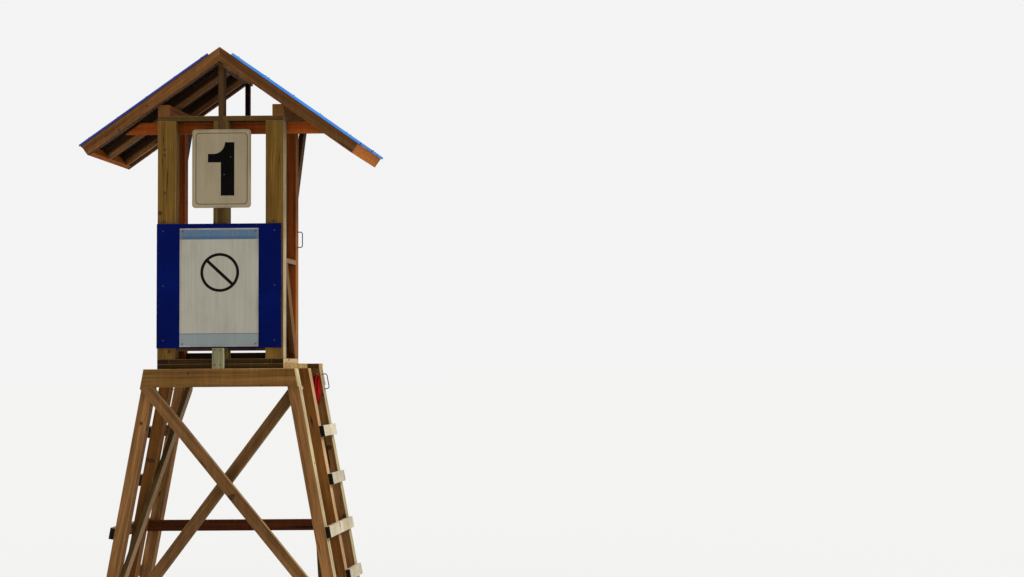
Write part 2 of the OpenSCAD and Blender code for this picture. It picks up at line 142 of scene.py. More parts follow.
def lumber_grain():
    """Group that draws growth rings, knots, checks and weather on a board.

    Turn brings the board's length to X. Fold gives a mirrored pair the same turn."""
    tree = bpy.data.node_groups.new("lumber_grain", "ShaderNodeTree")
    for name, kind in (
        ("Turn", "Vector"), ("Fold", "Float"), ("Dark", "Color"), ("Mid", "Color"),
        ("Pale", "Color"), ("End", "Color"), ("Bleach", "Float"), ("Grime and shade", "Float"),
    ):
        tree.interface.new_socket(name, in_out="INPUT", socket_type="NodeSocket" + kind)
    for name, kind in (("Colour", "Color"), ("Roughness", "Float"), ("Normal", "Vector")):
        tree.interface.new_socket(name, in_out="OUTPUT", socket_type="NodeSocket" + kind)
    r = Recipe(tree)
    given = tree.nodes.new("NodeGroupInput").outputs

    # Place and facing, turned so that X runs along the board
    place = r.add("TexCoord", {}).outputs["Object"]
    solid = r.add("NewGeometry", {}).outputs
    x, y, z = r.parts(place)
    nx, ny, nz = r.parts(solid["Normal"])
    side = r.calc("SIGN", x)
    folded_x = r.calc("SUBTRACT", r.calc("ABSOLUTE", x), x)
    folded_x = r.calc("MULTIPLY_ADD", given["Fold"], folded_x, x)
    flip = r.calc("MULTIPLY_ADD", given["Fold"], r.calc("SUBTRACT", side, 1.0), 1.0)
    along = r.turned(r.join(folded_x, y, z), given["Turn"], "POINT")
    facing = r.join(r.calc("MULTIPLY", nx, flip), ny, nz)
    facing = r.vector("ABSOLUTE", r.turned(facing, given["Turn"], "VECTOR"))

    # Each board is cut from its own place in the log
    own = r.add("ObjectInfo", {}).outputs["Random"]
    board = r.calc("ADD", r.calc("MULTIPLY", own, 7.0), solid["Random Per Island"])
    luck = r.add("TexWhiteNoise", {"W": board}, noise_dimensions="1D").outputs
    shift = r.vector("MULTIPLY", luck["Color"], (9.0, 2.0, 2.0))
    wood = r.vector("ADD", along, shift)
    _, wy, wz = r.parts(wood)
    angle = r.calc("MULTIPLY", luck["Value"], pi)
    c, s = r.calc("COSINE", angle), r.calc("SINE", angle)

    # Knots run out across the rings, at most one to each cell of the log
    cells_per_metre = (1.9, 7.5, 7.5)
    cells = r.vector("MULTIPLY", wood, cells_per_metre)
    knot_cell = r.add("TexVoronoi", {"Vector": cells, "Scale": 1.0}).outputs
    centre = r.vector("MULTIPLY", knot_cell["Position"], [1 / n for n in cells_per_metre])
    wobble = r.add("TexNoise", {"Vector": wood, "Scale": 38.0}).outputs[1]
    wobble = r.vector("MULTIPLY", r.vector("SUBTRACT", wobble, [0.5] * 3), [5 * MM] * 3)
    away = r.vector("ADD", r.vector("SUBTRACT", wood, centre), wobble)
    kx, ky, kz = r.parts(away)
    across = r.calc("SUBTRACT", r.calc("MULTIPLY", kz, c), r.calc("MULTIPLY", ky, s))
    reach = r.calc("MULTIPLY_ADD", kx, kx, r.calc("MULTIPLY", across, across))
    reach = r.calc("SQRT", reach)
    chance = r.parts(knot_cell["Color"])[0]
    knot_r = r.step(chance, 0.45, 1.0, 0.5 * MM, 17 * MM)
    knot_at = r.calc("DIVIDE", reach, knot_r)
    knot = r.step(knot_at, 1.15, 0.92)
    knot_rim = r.calc("MULTIPLY", r.step(knot_at, 0.80, 1.0), r.step(knot_at, 1.25, 1.05))
    halo = r.calc("MULTIPLY", r.step(knot_at, 2.6, 1.0), r.step(knot_r, MM, 8 * MM))
    swirl = r.calc("MULTIPLY", r.step(knot_at, 3.2, 0.6), r.calc("MULTIPLY", knot_r, 1.6))

    # Growth rings, wavy along the board and bent round the knots
    wave_size, ring_width = 85 * MM, 6.2 * MM
    wave = r.noise(wood, (0.8, 6.0, 6.0), 2.0, 0.45)
    wave = r.calc("MULTIPLY", r.calc("SUBTRACT", wave, 0.5), wave_size)
    flow = r.calc("ADD", r.calc("MULTIPLY", wy, c), r.calc("MULTIPLY", wz, s))
    phase = r.calc("ADD", r.calc("ADD", flow, wave), swirl)
    ring = r.calc("FRACT", r.calc("DIVIDE", phase, ring_width))
    late = r.calc("MULTIPLY", r.step(ring, 0.35, 0.88), r.step(ring, 1.0, 0.93))

    fibre = r.noise(wood, (7.0, 330.0, 330.0), 3.0, 0.6)
    streak = r.noise(wood, (0.9, 26.0, 26.0), 3.0, 0.55)
    patch = r.noise(place, (3.1, 3.1, 2.2), 4.0, 0.6)
    split = r.calc("ABSOLUTE", r.calc("SUBTRACT", r.noise(wood, (0.7, 30.0, 30.0), 1.0), 0.5))
    split_zone = r.step(r.noise(wood, (1.3, 9.0, 9.0), 1.0), 0.50, 0.62)
    split = r.calc("MULTIPLY", r.step(split, 0.011, 0.003), split_zone)
    mildew = r.step(r.noise(place, (150.0, 150.0, 110.0), 2.0, 0.7), 0.60, 0.74)
    drip = r.noise(place, (34.0, 34.0, 1.6), 3.0, 0.6)

    # Facing: sawn ends, rounded edges, and what sun and rain reach
    fx, fy, fz = r.parts(facing)
    sawn = r.step(fx, 0.45, 0.75)
    flat = r.calc("MAXIMUM", fx, r.calc("MAXIMUM", fy, fz))
    edge = r.step(flat, 0.985, 0.88)
    up = r.calc("MAXIMUM", nz, 0.0)
    outward = r.calc("MAXIMUM", r.calc("MULTIPLY", nx, side), 0.0)
    sunned = r.calc("MAXIMUM", up, r.calc("MULTIPLY", outward, 0.95))
    sunned = r.calc("MULTIPLY", sunned, r.step(patch, 0.28, 0.62, 0.55, 1.0))
    bleach = r.calc("MULTIPLY", sunned, given["Bleach"])

    # Colour
    body = r.mix(r.step(streak, 0.3, 0.72), given["Mid"], given["Dark"])
    body = r.mix(r.calc("MULTIPLY", late, 0.50), body, given["Dark"])
    body = r.mix(bleach, body, given["Pale"])
    body = r.mix(r.calc("MULTIPLY", r.calc("MULTIPLY", late, bleach), 0.22), body, given["Mid"])
    rubbed = r.calc("MULTIPLY", edge, r.step(streak, 0.2, 0.6, 0.15, 0.50))
    body = r.mix(rubbed, body, given["Pale"])
    level = r.step(luck["Value"], 0.0, 1.0, 0.84, 1.14)
    fibrous = r.step(fibre, 0.25, 0.75, 0.86, 1.12)
    fibrous = r.calc("MULTIPLY_ADD", sawn, r.calc("SUBTRACT", 0.97, fibrous), fibrous)
    level = r.calc("MULTIPLY", level, fibrous)
    level = r.calc("MULTIPLY", level, r.step(patch, 0.25, 0.75, 0.84, 1.12))
    level = r.calc("MULTIPLY", level, r.step(drip, 0.30, 0.70, 0.88, 1.08))
    # Painted shade: faces that turn downwards are darkened, as far as the grime-and-shade input
    # asks
    underside_shade = r.calc("MULTIPLY", r.step(nz, -0.3, -0.8), given["Grime and shade"])
    level = r.calc("MULTIPLY", level, r.calc("MULTIPLY_ADD", underside_shade, -0.65, 1.0))
    body = r.mix(1.0, body, r.join(level, level, level), "MULTIPLY")
    body = r.mix(r.calc("MULTIPLY", halo, 0.45), body, given["Dark"])
    knot_ring = r.calc("FRACT", r.calc("MULTIPLY", knot_at, 3.3))
    knotty = r.mix(knot_ring, tone("#3c2210"), tone("#553319"))
    body = r.mix(r.calc("MULTIPLY", knot, 0.88), body, knotty)
    body = r.mix(r.calc("MULTIPLY", knot_rim, 0.7), body, tone("#201208"))
    ends = r.mix(r.calc("MULTIPLY", late, 0.45), given["End"], tone("#1c0f06"))
    blotch = r.step(r.noise(place, (46.0, 46.0, 46.0), 2.0), 0.36, 0.62, 0.62, 1.0)
    ends = r.mix(r.calc("MULTIPLY", bleach, r.calc("MULTIPLY", blotch, 0.9)), ends, given["Pale"])
    body = r.mix(sawn, body, ends)
    mould = r.calc("MULTIPLY", mildew, r.calc("SUBTRACT", 1.0, sawn))
    mould = r.calc("MULTIPLY", mould, r.calc("MULTIPLY", given["Grime and shade"], 0.55))
    body = r.mix(mould, body, tone("#2b2318"))
    body = r.mix(r.calc("MULTIPLY", split, 0.88), body, tone("#170e07"))

    # Relief, in metres: late wood stands proud, early wood and checks are worn back
    height = r.calc("MULTIPLY", late, 0.22 * MM)
    height = r.calc("MULTIPLY_ADD", fibre, 0.45 * MM, height)
    height = r.calc("MULTIPLY_ADD", knot, 0.35 * MM, height)
    height = r.calc("MULTIPLY_ADD", split, -1.6 * MM, height)
    height = r.calc("MULTIPLY_ADD", streak, 1.2 * MM, height)
    rough = r.calc("SUBTRACT", r.step(fibre, 0.2, 0.8, 0.66, 0.86), r.calc("MULTIPLY", knot, 0.12))

    results = {"Colour": body, "Roughness": rough, "Normal": r.bump(height)}
    r.fill(tree.nodes.new("NodeGroupOutput"), results)
    return tree


grain = lumber_grain()
# Directions of a board: its length, and out of one of its faces
UPRIGHT = ((0, 0, 1), (0, 1, 0))
ACROSS = ((1, 0, 0), (0, 1, 0))
FORE_AFT = ((0, 1, 0), (0, 0, 1))


def lumber(name, direction, dark, mid, pale, end="#5a3a1f", bleach=0.85, grime_and_shade=0.7, fold=False):
    """Weathered softwood, its grain along the length that the direction gives."""
    length, face = (Vector(v).normalized() for v in direction)
    turn = Matrix((length, face.cross(length), face)).to_euler()
    material, r = new_finish(name)
    inputs = {
        "Turn": turn, "Fold": float(fold), "Dark": tone(dark), "Mid": tone(mid),
        "Pale": tone(pale), "End": tone(end), "Bleach": bleach, "Grime and shade": grime_and_shade,
    }
    made = r.add("Group", inputs, node_tree=grain).outputs
    r.finish(made["Colour"], made["Roughness"], 0.07, {"Normal": made["Normal"]})
    return material


def give(name, material):
    """Puts a finish on a CAD node and leaves its edges as they are."""
    for slot in nodes[name].material_slots:
        slot.material = material


def finish_node(name, material, ease=2.5 * MM):
    """Gives a CAD node its finish, and eases its sawn edges."""
    give(name, material)
    piece = nodes[name]
    weld = piece.modifiers.new("join_corners", "WELD")
    weld.merge_threshold = 0.01 * MM
    plain = piece.modifiers.new("plain_faces", "DECIMATE")
    plain.decimate_type = "DISSOLVE"
    plain.angle_limit = radians(0.5)
    eased = piece.modifiers.new("eased_edges", "BEVEL")
    eased.width = ease
    eased.segments = 2
    eased.limit_method = "ANGLE"
    eased.angle_limit = radians(35)
    shade = piece.modifiers.new("flat_faces", "WEIGHTED_NORMAL")
    shade.weight = 100


LEG_LENGTH = (-sin(leg_lean), 0, cos(leg_lean))
leg_wood = lumber(
    "leg_wood", (LEG_LENGTH, (0, 1, 0)), "#724c28", "#a07242", "#b8b08a", fold=True
)
# The middle legs are darker as painted shade from the legs around them
mid_leg_wood = lumber(
    "mid_leg_wood", (LEG_LENGTH, (0, 1, 0)), "#5e3b16", "#845423", "#c6a27a", fold=True
)
for name, material in (
    ("legs_rear", leg_wood), ("legs_mid", mid_leg_wood), ("legs_front", leg_wood)
):
    finish_node(name, material)


# Base frame
# Two-by-six beams nailed across the legs' tops, joists between them, and two-by-four
# braces: a crossed pair at the rear, one on each side and a level one in front.

outer_slope = radians(50.8)
inner_slope = radians(52.9)
side_slope = radians(61.8)

beam_wood = lumber("beam_wood", ACROSS, "#704b22", "#986f39", "#cdb27c")
joist_wood = lumber("joist_wood", FORE_AFT, "#4b321a", "#6a492a", "#99754d", grime_and_shade=0.9)
outer_brace_wood = lumber(
    "outer_brace_wood", ((cos(outer_slope), 0, -sin(outer_slope)), (0, 1, 0)),
    "#614122", "#866039", "#c0a070",
)
inner_brace_wood = lumber(
    "inner_brace_wood", ((cos(inner_slope), 0, sin(inner_slope)), (0, 1, 0)),
    "#604122", "#845f39", "#c0a070",
)
side_length = (-sin(leg_lean) * sin(side_slope), cos(side_slope), cos(leg_lean) * sin(side_slope))
side_face = (cos(leg_lean), 0, sin(leg_lean))
side_brace_wood = lumber(
    "side_brace_wood", (side_length, side_face), "#3a2d16", "#554223", "#a5814f",
    bleach=0.25, fold=True,
)
# Its broad faces are lighter as painted sunlight, and its edges darker as painted shade
r = Recipe(side_brace_wood.node_tree)
nx = r.parts(r.add("NewGeometry", {}).outputs["Normal"])[0]
r.stain(r.step(r.calc("ABSOLUTE", nx), 0.6, 0.85, 0.0, 0.8), "#9c7f60")
low_brace_wood = lumber("low_brace_wood", ACROSS, "#3b1b08", "#552a0f", "#7e4119", grime_and_shade=0.9)
for name, material in (
    ("rear_beam", beam_wood), ("front_beam", beam_wood), ("deck_joists", joist_wood),
    ("rear_brace_outer", outer_brace_wood), ("rear_brace_inner", inner_brace_wood),
    ("side_braces", side_brace_wood), ("front_brace", low_brace_wood),
):
    finish_node(name, material)


# Rungs and deck
# Two-by-four rungs nailed to the legs' outer faces, bleached nearly white by the sun,
# and deck boards nailed across the joists with open gaps, under the cab's sole plates.

# The rungs' ends are near black: darker end grain, deepened further as painted shade
rung_wood = lumber(
    "rung_wood", (FORE_AFT[0], (cos(leg_lean), 0, sin(leg_lean))),
    "#6b5536", "#94794f", "#c2b9a1", "#160c05", bleach=1.0, fold=True,
)
# The dark tones of the deck and step boards and the sole plates' dark ends are partly wood colour,
# partly painted shade
deck_wood = lumber("deck_wood", ACROSS, "#301f09", "#483211", "#c0a066", "#5e3f12", bleach=0.95)
sole_wood = lumber("sole_wood", FORE_AFT, "#4c3719", "#6f5329", "#c2a87c", "#2c190b", bleach=0.95)
step_wood = lumber("step_wood", ACROSS, "#412810", "#5f411c", "#c0a066", "#7a5a30", bleach=0.95)
# The rear sole plate and the toe rail are dark as painted shade under the panel
low_plate_wood = lumber("low_plate_wood", ACROSS, "#31220f", "#483318", "#ac8d5c")
for name, material in (
    ("rungs", rung_wood), ("deck_boards", deck_wood), ("step_board", step_wood),
    ("sole_plates_side", sole_wood), ("sole_plate_rear", low_plate_wood),
    ("toe_rail", low_plate_wood),
):
    finish_node(name, material)


# Cab
# Studs and square posts that carry the plates, with braces, armrests and a seat of
# two-by-fours, nailed and in places bolted. The tie beams are of a redder wood.

knee_slope = radians(63.4)
cab_brace_slope = radians(65.1)
SIDE = (1, 0, 0)

post_wood = lumber("post_wood", UPRIGHT, "#5c4117", "#805f28", "#b3aa8e", bleach=0.95)
front_post_wood = lumber("front_post_wood", UPRIGHT, "#672f0d", "#8f4918", "#8b6034", bleach=0.5)
stud_wood = lumber("stud_wood", UPRIGHT, "#4b3717", "#6a542a", "#81693c", bleach=0.5)
top_plate_wood = lumber("top_plate_wood", ACROSS, "#432f17", "#614621", "#ac8d5c")
# The king stud and the front king post are dark as painted shade under the roof, the front king
# post nearly black
king_stud_wood = lumber("king_stud_wood", UPRIGHT, "#38240f", "#513a1f", "#725336", bleach=0.5)
dark_stud_wood = lumber("dark_stud_wood", UPRIGHT, "#120b07", "#1e130c", "#4a3624", bleach=0.6)
tie_wood = lumber("tie_wood", ACROSS, "#8d3f13", "#b65a1c", "#d2863f", "#9a5a26", bleach=0.5)
# Between the posts it is darker, as painted shade from the cab around it
r = Recipe(tie_wood.node_tree)
x = r.parts(r.add("TexCoord", {}).outputs["Object"])[0]
r.stain(r.step(r.calc("ABSOLUTE", x), 460 * MM, 380 * MM, 0.0, 0.36), "#140803")
side_plate_wood = lumber("side_plate_wood", FORE_AFT, "#6a3a10", "#925e26", "#8c6036", "#7a4f26")
# The knee braces are dark as painted shade on the faces seen from below
knee_wood = lumber(
    "knee_wood", ((0, cos(knee_slope), sin(knee_slope)), SIDE), "#2c180a", "#452b14", "#6b4d2c",
    bleach=0.5,
)
cab_brace_wood = lumber(
    "cab_brace_wood", ((0, cos(cab_brace_slope), -sin(cab_brace_slope)), SIDE),
    "#4c3016", "#6c4825", "#70502c",
)
arm_wood = lumber("arm_wood", FORE_AFT, "#3f2d18", "#573f23", "#786246", "#614728", bleach=0.9)
seat_wood = lumber("seat_wood", ACROSS, "#5c4326", "#806240", "#b39a72", bleach=0.85)
rail_wood = lumber("rail_wood", FORE_AFT, "#543c22", "#775a38", "#a0835c")
# The panel rails are dark as painted shade behind the panel
panel_rail_wood = lumber("panel_rail_wood", ACROSS, "#382716", "#513b23", "#a0835c")
for name, material in (
    ("posts_rear", post_wood), ("posts_front", front_post_wood), ("king_stud", king_stud_wood),
    ("centre_studs", stud_wood), ("rear_top_plate", top_plate_wood), ("tie_beam", tie_wood),
    ("side_plates", side_plate_wood), ("front_tie", tie_wood),
    ("front_king_post", dark_stud_wood), ("knee_braces", knee_wood),
    ("cab_braces", cab_brace_wood), ("armrests", arm_wood), ("seat_rails", rail_wood),
    ("seat_boards", seat_wood), ("panel_rails", panel_rail_wood),
):
    finish_node(name, material)


# Roof frame
# Two-by-four rafters. The inner ones are cut to sit on the side plates and to meet the
# ridge board, the end ones meet each other, and fascia boards close the eaves between.

roof_pitch = radians(35.3)
DOWN_SLOPE = (cos(roof_pitch), 0, -sin(roof_pitch))

rafter_wood = lumber(
    "rafter_wood", (DOWN_SLOPE, (0, 1, 0)), "#5f3b1c", "#80552d", "#aa7e4c", "#5a3418",
    grime_and_shade=0.9, fold=True,
)
inner_rafter_wood = lumber(
    "inner_rafter_wood", (DOWN_SLOPE, (0, 1, 0)), "#74502f", "#9a6d42", "#b07a44",
    grime_and_shade=0.4, fold=True,
)
# The upper half of these rafters is darkened as painted shade under the sheets
r = Recipe(inner_rafter_wood.node_tree)
peak_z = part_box("rear_rafter_right")[1].z
x, _, z = r.parts(r.add("TexCoord", {}).outputs["Object"])
below = r.calc("MULTIPLY", r.calc("SUBTRACT", peak_z, z), cos(roof_pitch))
below = r.calc("SUBTRACT", below, r.calc("MULTIPLY", r.calc("ABSOLUTE", x), sin(roof_pitch)))
r.stain(r.step(below, 68 * MM, 42 * MM, 0.0, 0.85), "#0d0805")
ridge_wood = lumber("ridge_wood", FORE_AFT, "#4f321c", "#6f4a2b", "#96704c")
fascia_wood = lumber(
    "fascia_wood", (FORE_AFT[0], (sin(roof_pitch), 0, cos(roof_pitch))),
    "#a05612", "#c46e1c", "#86501c", "#a85e12", bleach=0.5, grime_and_shade=0.1, fold=True,
)
for name, material in (
    ("rear_rafter_left", rafter_wood), ("rear_rafter_right", rafter_wood),
    ("front_rafter_left", rafter_wood), ("front_rafter_right", rafter_wood),
    ("common_rafters", inner_rafter_wood), ("ridge_board", ridge_wood),
    ("fascias", fascia_wood),
):
    finish_node(name, material)


# Roof sheets
# One ribbed steel sheet to a slope, laid over the rafters and screwed down. It is painted
# blue on top, paler where the sun has chalked it, and has a thin grey coat underneath.

rafter_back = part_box("rear_rafter_right")[0].y
board_t, rafter_pitch = 38 * MM, 406.4 * MM


def rim_distance(r, place, low, high):
    """How far in from the nearest edge of an upright board's face a place lies."""
    x, _, z = r.parts(place)
    off_x = r.calc("ABSOLUTE", r.calc("SUBTRACT", x, (low.x + high.x) / 2))
    off_z = r.calc("ABSOLUTE", r.calc("SUBTRACT", z, (low.z + high.z) / 2))
    from_side = r.calc("SUBTRACT", (high.x - low.x) / 2, off_x)
    from_end = r.calc("SUBTRACT", (high.z - low.z) / 2, off_z)
    return r.calc("MINIMUM", from_side, from_end)


def painted(
    name, colour, chalked, bare, rough, gloss, chalk=0.5, deep=None, under=None, box=None
):
    """Weathered paint with rain streaks and small chips down to what it covers.

    Steep faces take the deep colour, as painted shade. Within the outline of
    a box's face the paint has also chipped along the edges."""
    material, r = new_finish(name)
    place = r.add("TexCoord", {}).outputs["Object"]
    broad = r.noise(place, (2.6, 2.6, 3.4), 4.0, 0.6)
    fine = r.noise(place, (90.0, 90.0, 90.0), 3.0, 0.65)
    run = r.noise(place, (2.5, 38.0, 2.5), 4.0, 0.6)
    share = r.calc("MULTIPLY", r.step(broad, 0.35, 0.68), chalk)
    body = r.mix(share, tone(colour), tone(chalked))
    nz = r.parts(r.add("NewGeometry", {}).outputs["Normal"])[2]
    # Painted shade: steep faces such as the ribs' sides take the deep colour
    if deep:
        body = r.mix(r.step(nz, 0.76, 0.55), body, tone(deep))
    level = r.step(fine, 0.3, 0.7, 0.95, 1.04)
    level = r.calc("MULTIPLY", r.step(run, 0.3, 0.7, 0.86, 1.08), level)
    body = r.mix(1.0, body, r.join(level, level, level), "MULTIPLY")
    chips = r.calc("MULTIPLY", r.step(fine, 0.69, 0.74), r.step(broad, 0.50, 0.62))
    if box:
        # Chips get rarer from the edge inwards, and end some 13 mm from it
        fade_per_metre = 22.0
        worn = r.calc("ADD", r.calc("MULTIPLY", fine, 0.55), r.calc("MULTIPLY", run, 0.45))
        fade = r.calc("MULTIPLY", rim_distance(r, place, *box), fade_per_metre)
        worn = r.calc("SUBTRACT", worn, fade)
        chips = r.calc("MAXIMUM", chips, r.step(worn, 0.46, 0.52))
    body = r.mix(chips, body, tone(bare))
    if under:
        # Painted shade darkens the undercoat along the rafters, and the middles of the bays stay
        # lighter
        bay = r.calc("SUBTRACT", r.parts(place)[1], rafter_back + board_t / 2)
        bay = r.calc("DIVIDE", bay, rafter_pitch)
        off_middle = r.calc("ABSOLUTE", r.calc("SUBTRACT", r.calc("FRACT", bay), 0.5))
        off_middle = r.calc("MULTIPLY_ADD", r.calc("SUBTRACT", run, 0.5), 0.12, off_middle)
        coat = r.mix(r.step(off_middle, 0.14, 0.32), tone(under), tone("#2a1d14"))
        body = r.mix(r.step(nz, -0.2, -0.5), body, coat)
    height = r.calc("MULTIPLY_ADD", broad, 1.5 * MM, r.calc("MULTIPLY", chips, -0.1 * MM))
    r.finish(body, r.calc("MULTIPLY_ADD", share, 0.2, rough), gloss, {"Normal": r.bump(height)})
    return material


# The left sheet is the shaded copy of the paint: a shade deeper as painted shade, deeper still on
# its ribs' sides
zinc, undercoat = "#a4b0ba", "#aea598"
give("roof_sheet_right", painted(
    "sheet_paint_sunny", "#1f74cc", "#3f8cd6", zinc, rough=0.35, gloss=0.4, under=undercoat
))
give("roof_sheet_left", painted(
    "sheet_paint_shady", "#1b68bc", "#3a80c8", zinc, rough=0.4, gloss=0.3, deep="#03339a",
    under=undercoat,
))


def new_piece(name, bm, material):
    """Makes a mesh piece that stands on the tower."""
    mesh = bpy.data.meshes.new(name)
    bm.to_mesh(mesh)
    bm.free()
    mesh.materials.append(material)
    piece = bpy.data.objects.new(name, mesh)
    bpy.context.scene.collection.objects.link(piece)
    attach(piece, "root")
    return piece


def heads(bm, spots, radius, rise, sides=10, sunk=0.3 * MM):
    """Fastener heads, each at a place and facing a way, set a little into the surface.

    They narrow towards the top."""
    for place, way in spots:
        way = Vector(way).normalized()
        seat = Matrix.Translation(Vector(place) + way * (rise / 2 - sunk))
        bmesh.ops.create_cone(
            bm, cap_ends=True, segments=sides, radius1=radius, radius2=radius * 0.78,
            depth=rise, matrix=seat @ way.to_track_quat("Z", "Y").to_matrix().to_4x4(),
        )


def rusty_steel(name, steel, rust, spread):
    """Zinc-coated steel that has dulled and begun to rust."""
    material, r = new_finish(name)
    place = r.add("TexCoord", {}).outputs["Object"]
    patches = r.noise(place, (45.0, 45.0, 45.0), 4.0, 0.65)
    pits = r.noise(place, (600.0, 600.0, 600.0), 2.0)
    rusted = r.step(patches, 0.62 - 0.3 * spread, 0.72 - 0.2 * spread)
    colour = r.mix(rusted, tone(steel), tone(rust))
    relief = r.calc("MULTIPLY", pits, 0.08 * MM)
    others = {"Metallic": r.step(rusted, 0.0, 1.0, 0.9, 0.0), "Normal": r.bump(relief)}
    r.finish(colour, r.step(rusted, 0.0, 1.0, 0.38, 0.85), 0.5, others)
    return material


def mirrored(spots):
    """The spots, each a place and the way it faces, and their mirror images on the left."""
    return spots + [(Vector((-p[0], p[1], p[2])), Vector((-n[0], n[1], n[2]))) for p, n in spots]


slope_normal = Vector((sin(roof_pitch), 0, cos(roof_pitch)))
slope_down = Vector(DOWN_SLOPE)
peak = Vector((0, 0, peak_z))
first_rib, last_rib, rib_height, sheet_t = 18.5 * MM, 934.5 * MM, 19 * MM, 0.7 * MM
washer_t, washer_sunk = 2 * MM, 0.8 * MM
# Screws go through the end ribs, and through the flats over the inner rafters
screw_lines = (
    (first_rib, rib_height), (rafter_pitch + board_t / 2, sheet_t),
    (2 * rafter_pitch + board_t / 2, sheet_t), (last_rib, rib_height),
)
screw_spots = []
for depth, rise in screw_lines:
    for down in (165, 420, 690, 960, 1230):
        place = peak + slope_down * down * MM + slope_normal * rise
        screw_spots.append((Vector((place.x, rafter_back + depth, place.z)), slope_normal))
screw_spots = mirrored(screw_spots)
on_washers = [(place + way * (washer_t - washer_sunk), way) for place, way in screw_spots]
screw_bm = bmesh.new()
heads(screw_bm, screw_spots, radius=8 * MM, rise=washer_t, sides=14, sunk=washer_sunk)
heads(screw_bm, on_washers, radius=4.6 * MM, rise=4.5 * MM, sides=6, sunk=0.1 * MM)
screw_steel = rusty_steel("screw_steel", "#6f7377", "#6b3d22", 0.35)
new_piece("roof_screws", screw_bm, screw_steel)


# Panel, stub and boards
# A painted plywood panel across the posts, a printed notice board and a number plate of
# thin sheet, and the short board that holds the panel's foot, all screwed on.

screwed_on = ("notice_board", "number_plate", "back_panel", "panel_stub")
board_boxes = {name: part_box(name) for name in screwed_on}
panel_paint = painted(
    "panel_paint", "#000c4b", "#02165f", "#2c2216", rough=0.65, chalk=0.6, gloss=0.04,
    box=board_boxes["back_panel"],
)
finish_node("back_panel", panel_paint, 1.5 * MM)
stub_wood = lumber("stub_wood", UPRIGHT, "#756f50", "#8e886b", "#b8b294", bleach=0.5)
finish_node("panel_stub", stub_wood)


def sheet_board(name, field, stain, bands=(), rim=None, rim_width=0.0):
    """Printed or painted thin board with dirt at its edges. A band is (low, high, colour)."""
    low, high = board_boxes[name]
    material, r = new_finish(name + "_face")
    place = r.add("TexCoord", {}).outputs["Object"]
    z = r.parts(place)[2]
    inset = rim_distance(r, place, low, high)
    blotch = r.noise(place, (6.0, 6.0, 3.0), 4.0, 0.6)
    streak = r.noise(place, (60.0, 60.0, 2.2), 3.0, 0.6)
    speck = r.noise(place, (210.0, 210.0, 210.0), 2.0, 0.7)
    body = tone(field)
    if rim:
        body = r.mix(r.step(inset, rim_width + MM, rim_width - MM), body, tone(rim))
    for start, end, colour in bands:
        # The edges are a millimetre soft either way, and streaks have thinned the colour
        foot, top = low.z + start, low.z + end
        inside = r.calc("MULTIPLY", r.step(z, foot - MM, foot + MM), r.step(z, top + MM, top - MM))
        inside = r.calc("MULTIPLY", inside, r.step(streak, 0.15, 0.5, 0.72, 1.0))
        body = r.mix(inside, body, tone(colour))
    dirt = r.calc("MULTIPLY", r.step(inset, 26 * MM, 2 * MM), r.step(blotch, 0.35, 0.65, 0.1, 0.5))
    dirt = r.calc("ADD", dirt, r.calc("MULTIPLY", r.step(blotch, 0.42, 0.75), 0.22))
    dirt = r.calc("ADD", dirt, r.calc("MULTIPLY", r.step(speck, 0.66, 0.74), 0.35))
    body = r.mix(dirt, body, tone(stain))
    level = r.step(streak, 0.25, 0.75, 0.93, 1.05)
    body = r.mix(1.0, body, r.join(level, level, level), "MULTIPLY")
    waves = r.bump(r.calc("MULTIPLY", blotch, 2.0 * MM))
    r.finish(body, r.step(blotch, 0.3, 0.7, 0.36, 0.60), 0.35, {"Normal": waves})
    finish_node(name, material, 0.5 * MM)


sheet_board(
    "notice_board", "#aba797", "#807562",
    bands=(
        (828 * MM, 904 * MM, "#486a88"), (828 * MM, 852 * MM, "#3a5b79"),
        (8 * MM, 100 * MM, "#848f8f"), (97 * MM, 103 * MM, "#5a6970"),
    ),
)
sheet_board("number_plate", "#9b8c6f", "#766344", rim="#a19072", rim_width=26 * MM)

VINYL_RISE = 0.4 * MM


def vinyl(name, colour, bm):
    """Cut vinyl on a board: the faces in bm get their thickness and a slightly worn finish."""
    grown = bmesh.ops.extrude_face_region(bm, geom=bm.faces[:], use_keep_orig=True)["geom"]
    raised = [g for g in grown if isinstance(g, bmesh.types.BMVert)]
    bmesh.ops.translate(bm, vec=(0, -VINYL_RISE, 0), verts=raised)
    bmesh.ops.recalc_face_normals(bm, faces=bm.faces)
    material, r = new_finish(name + "_vinyl")
    place = r.add("TexCoord", {}).outputs["Object"]
    faded = r.noise(place, (14.0, 14.0, 7.0), 4.0, 0.65)
    scuffs = r.step(r.noise(place, (240.0, 240.0, 120.0), 2.0, 0.7), 0.66, 0.72)
    body = r.mix(r.step(faded, 0.35, 0.7, 0.0, 0.12), tone(colour), tone("#2a2520"))
    body = r.mix(r.calc("MULTIPLY", scuffs, 0.22), body, tone("#6d6656"))
    r.finish(body, r.step(faded, 0.3, 0.7, 0.45, 0.65), 0.03)
    new_piece(name, bm, material)


def flat_face(bm, points, y):
    """One face in a board's plane from its outline in X and Z."""
    return bm.faces.new([bm.verts.new((x, y, z)) for x, z in points])


def strip_along_rim(bm, faces, width):
    """Leaves of flat faces only a strip along their outline."""
    bmesh.ops.inset_region(
        bm, faces=faces, thickness=width, use_even_offset=True, use_boundary=True
    )
    bmesh.ops.delete(bm, geom=faces, context="FACES")


